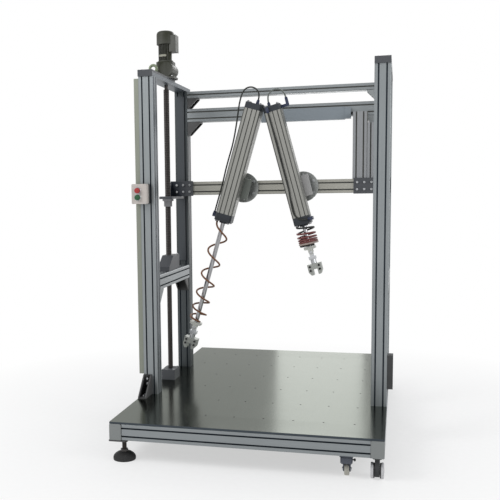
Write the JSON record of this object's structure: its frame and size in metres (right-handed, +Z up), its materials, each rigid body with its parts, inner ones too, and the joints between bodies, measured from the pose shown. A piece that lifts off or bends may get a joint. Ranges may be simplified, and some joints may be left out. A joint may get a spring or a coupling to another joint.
{
  "type": "steering durability tester",
  "caption": "Extrusion-framed steering durability tester with a drilled table, a screw-driven crosshead and swinging pneumatic cylinders.",
  "frame": {"origin": "on the floor, below the middle of the table", "axes": "+Z up, -Y towards the front, where the control box faces, +X to the right"},
  "size_m": [1.356, 1.928, 2.224],
  "materials": {
    "profile_aluminium": "anodised satin",
    "end_cap_grey": "moulded",
    "table_steel": "brushed",
    "guide_steel": "ground",
    "dark_paint": "satin",
    "light_casting": "blasted",
    "cap_aluminium": "anodised satin",
    "motor_paint": "satin",
    "eye_paint": "satin",
    "dark_plastic": "matte",
    "light_plastic": "matte",
    "trunk_aluminium": "satin",
    "foot_rubber": "matte",
    "cable_jacket": "satin",
    "air_hose": "satin",
    "nut_steel": "ground",
    "bolt_steel": "zinc plated",
    "flange_aluminium": "turned",
    "screw_steel": "oiled",
    "cylinder_aluminium": "anodised satin",
    "cylinder_cap": "anodised dark",
    "spiral_hose": "satin",
    "chrome_rod": "polished",
    "jaw_aluminium": "milled",
    "red_plastic": "gloss",
    "green_plastic": "gloss",
    "caster_plastic": "matte",
    "wheel_rubber": "matte",
    "wheel_nylon": "satin"
  },
  "bodies": {
    "frame": {"base_rails": "profile_aluminium", "rail_end_caps": "end_cap_grey", "table_plate": "table_steel", "tower_posts": "profile_aluminium", "guide_rails": "guide_steel", "upper_beam": "profile_aluminium", "lower_beam": "profile_aluminium", "tower_cross_bars": "profile_aluminium", "corner_brackets": "light_casting", "left_tower_cap": "cap_aluminium", "tower_top_plates": "dark_paint", "worm_gearbox": "dark_paint", "motor_body": "motor_paint", "fan_cover": "motor_paint", "lifting_eye": "eye_paint", "screw_bearings": "dark_paint", "control_box_base": "dark_plastic", "control_box_cover": "light_plastic", "cable_ducts": "trunk_aluminium", "levelling_feet": "foot_rubber", "junction_boxes": "dark_plastic", "post_cable": "cable_jacket"},
    "crosshead": {"crosshead_beam": "profile_aluminium", "left_crosshead_plate": "dark_paint", "right_crosshead_plate": "dark_paint", "guide_blocks": "guide_steel", "lift_nut": "nut_steel", "crosshead_bolts": "bolt_steel", "crosshead_uprights": "profile_aluminium", "pivot_flanges": "flange_aluminium"},
    "screw": {"lift_screw": "screw_steel"},
    "left_cylinder": {"left_barrel": "cylinder_aluminium", "left_cylinder_caps": "cylinder_cap", "left_clamp_plate": "light_casting", "left_spiral_hose": "spiral_hose", "left_air_hose": "air_hose"},
    "left_rod": {"left_piston_rod": "chrome_rod", "left_rod_clevis": "light_casting"},
    "left_grip": {"left_swivel": "bolt_steel", "left_grip_jaw": "jaw_aluminium"},
    "right_cylinder": {"right_barrel": "cylinder_aluminium", "right_cylinder_caps": "cylinder_cap", "right_clamp_plate": "light_casting", "right_spiral_hose": "spiral_hose", "right_air_hose": "air_hose", "right_top_hose": "air_hose"},
    "right_rod": {"right_piston_rod": "chrome_rod", "right_rod_clevis": "light_casting"},
    "right_grip": {"right_swivel": "bolt_steel", "right_grip_jaw": "jaw_aluminium"},
    "stop_button": {"stop_button": "red_plastic"},
    "start_button": {"start_button": "green_plastic"},
    "front_corner_caster_fork": {"front_corner_caster_fork": "caster_plastic"},
    "front_corner_caster_wheel": {"front_corner_caster_wheel": "wheel_rubber"},
    "front_inner_caster_fork": {"front_inner_caster_fork": "dark_paint"},
    "front_inner_caster_wheel": {"front_inner_caster_wheel": "wheel_nylon"},
    "back_corner_caster_fork": {"back_corner_caster_fork": "caster_plastic"},
    "back_corner_caster_wheel": {"back_corner_caster_wheel": "wheel_rubber"},
    "back_inner_caster_fork": {"back_inner_caster_fork": "dark_paint"},
    "back_inner_caster_wheel": {"back_inner_caster_wheel": "wheel_nylon"}
  },
  "joints": [
    {"name": "crosshead_lift", "type": "slide", "parent": "frame", "child": "crosshead", "axis": [0, 0, 1], "range_m": [-0.12, 0.3]},
    {"name": "screw_turn", "type": "hinge", "parent": "frame", "child": "screw", "pos_m": [-0.61, 0, 1.4], "axis": [0, 0, 1], "range_deg": [-2200, 5440]},
    {"name": "left_cylinder_swing", "type": "hinge", "parent": "crosshead", "child": "left_cylinder", "pos_m": [-0.195, 0.04, 1.328], "axis": [0, 1, 0], "range_deg": [-20, 0]},
    {"name": "left_rod_slide", "type": "slide", "parent": "left_cylinder", "child": "left_rod", "axis": [0.2756, 0, 0.9613], "range_m": [0, 0.49], "deforming": ["left_spiral_hose"]},
    {"name": "left_grip_tilt", "type": "hinge", "parent": "left_rod", "child": "left_grip", "pos_m": [-0.4668, 0.04, 0.50712], "axis": [0, 1, 0], "range_deg": [-30, 30]},
    {"name": "right_cylinder_swing", "type": "hinge", "parent": "crosshead", "child": "right_cylinder", "pos_m": [0.156, 0.04, 1.328], "axis": [0, 1, 0], "range_deg": [0, 20]},
    {"name": "right_rod_slide", "type": "slide", "parent": "right_cylinder", "child": "right_rod", "axis": [-0.2588, 0, 0.9659], "range_m": [-0.49, 0], "deforming": ["right_spiral_hose"]},
    {"name": "right_grip_tilt", "type": "hinge", "parent": "right_rod", "child": "right_grip", "pos_m": [0.21899, 0.04, 0.95769], "axis": [0, 1, 0], "range_deg": [-30, 30]},
    {"name": "stop_button_press", "type": "slide", "parent": "frame", "child": "stop_button", "axis": [0, 1, 0], "range_m": [0, 0.004], "stiffness_N_per_m": 1200},
    {"name": "start_button_press", "type": "slide", "parent": "frame", "child": "start_button", "axis": [0, 1, 0], "range_m": [0, 0.004], "stiffness_N_per_m": 1200},
    {"name": "front_corner_caster_swivel", "type": "hinge", "parent": "frame", "child": "front_corner_caster_fork", "pos_m": [0.618, -0.92, 0.11], "axis": [0, 0, 1], "continuous": true},
    {"name": "front_corner_caster_roll", "type": "hinge", "parent": "front_corner_caster_fork", "child": "front_corner_caster_wheel", "pos_m": [0.618, -0.904, 0.037], "axis": [1, 0, 0], "continuous": true},
    {"name": "front_inner_caster_swivel", "type": "hinge", "parent": "frame", "child": "front_inner_caster_fork", "pos_m": [0.482, -0.92, 0.11], "axis": [0, 0, 1], "continuous": true},
    {"name": "front_inner_caster_roll", "type": "hinge", "parent": "front_inner_caster_fork", "child": "front_inner_caster_wheel", "pos_m": [0.482, -0.89, 0.03], "axis": [1, 0, 0], "continuous": true},
    {"name": "back_corner_caster_swivel", "type": "hinge", "parent": "frame", "child": "back_corner_caster_fork", "pos_m": [0.618, 0.92, 0.11], "axis": [0, 0, 1], "continuous": true},
    {"name": "back_corner_caster_roll", "type": "hinge", "parent": "back_corner_caster_fork", "child": "back_corner_caster_wheel", "pos_m": [0.618, 0.904, 0.037], "axis": [1, 0, 0], "continuous": true},
    {"name": "back_inner_caster_swivel", "type": "hinge", "parent": "frame", "child": "back_inner_caster_fork", "pos_m": [0.482, 0.92, 0.11], "axis": [0, 0, 1], "continuous": true},
    {"name": "back_inner_caster_roll", "type": "hinge", "parent": "back_inner_caster_fork", "child": "back_inner_caster_wheel", "pos_m": [0.482, 0.89, 0.03], "axis": [1, 0, 0], "continuous": true}
  ],
  "couplings": [
    {"joint": "screw_turn", "follows": "crosshead_lift", "rad_per_m": 314.16}
  ]
}
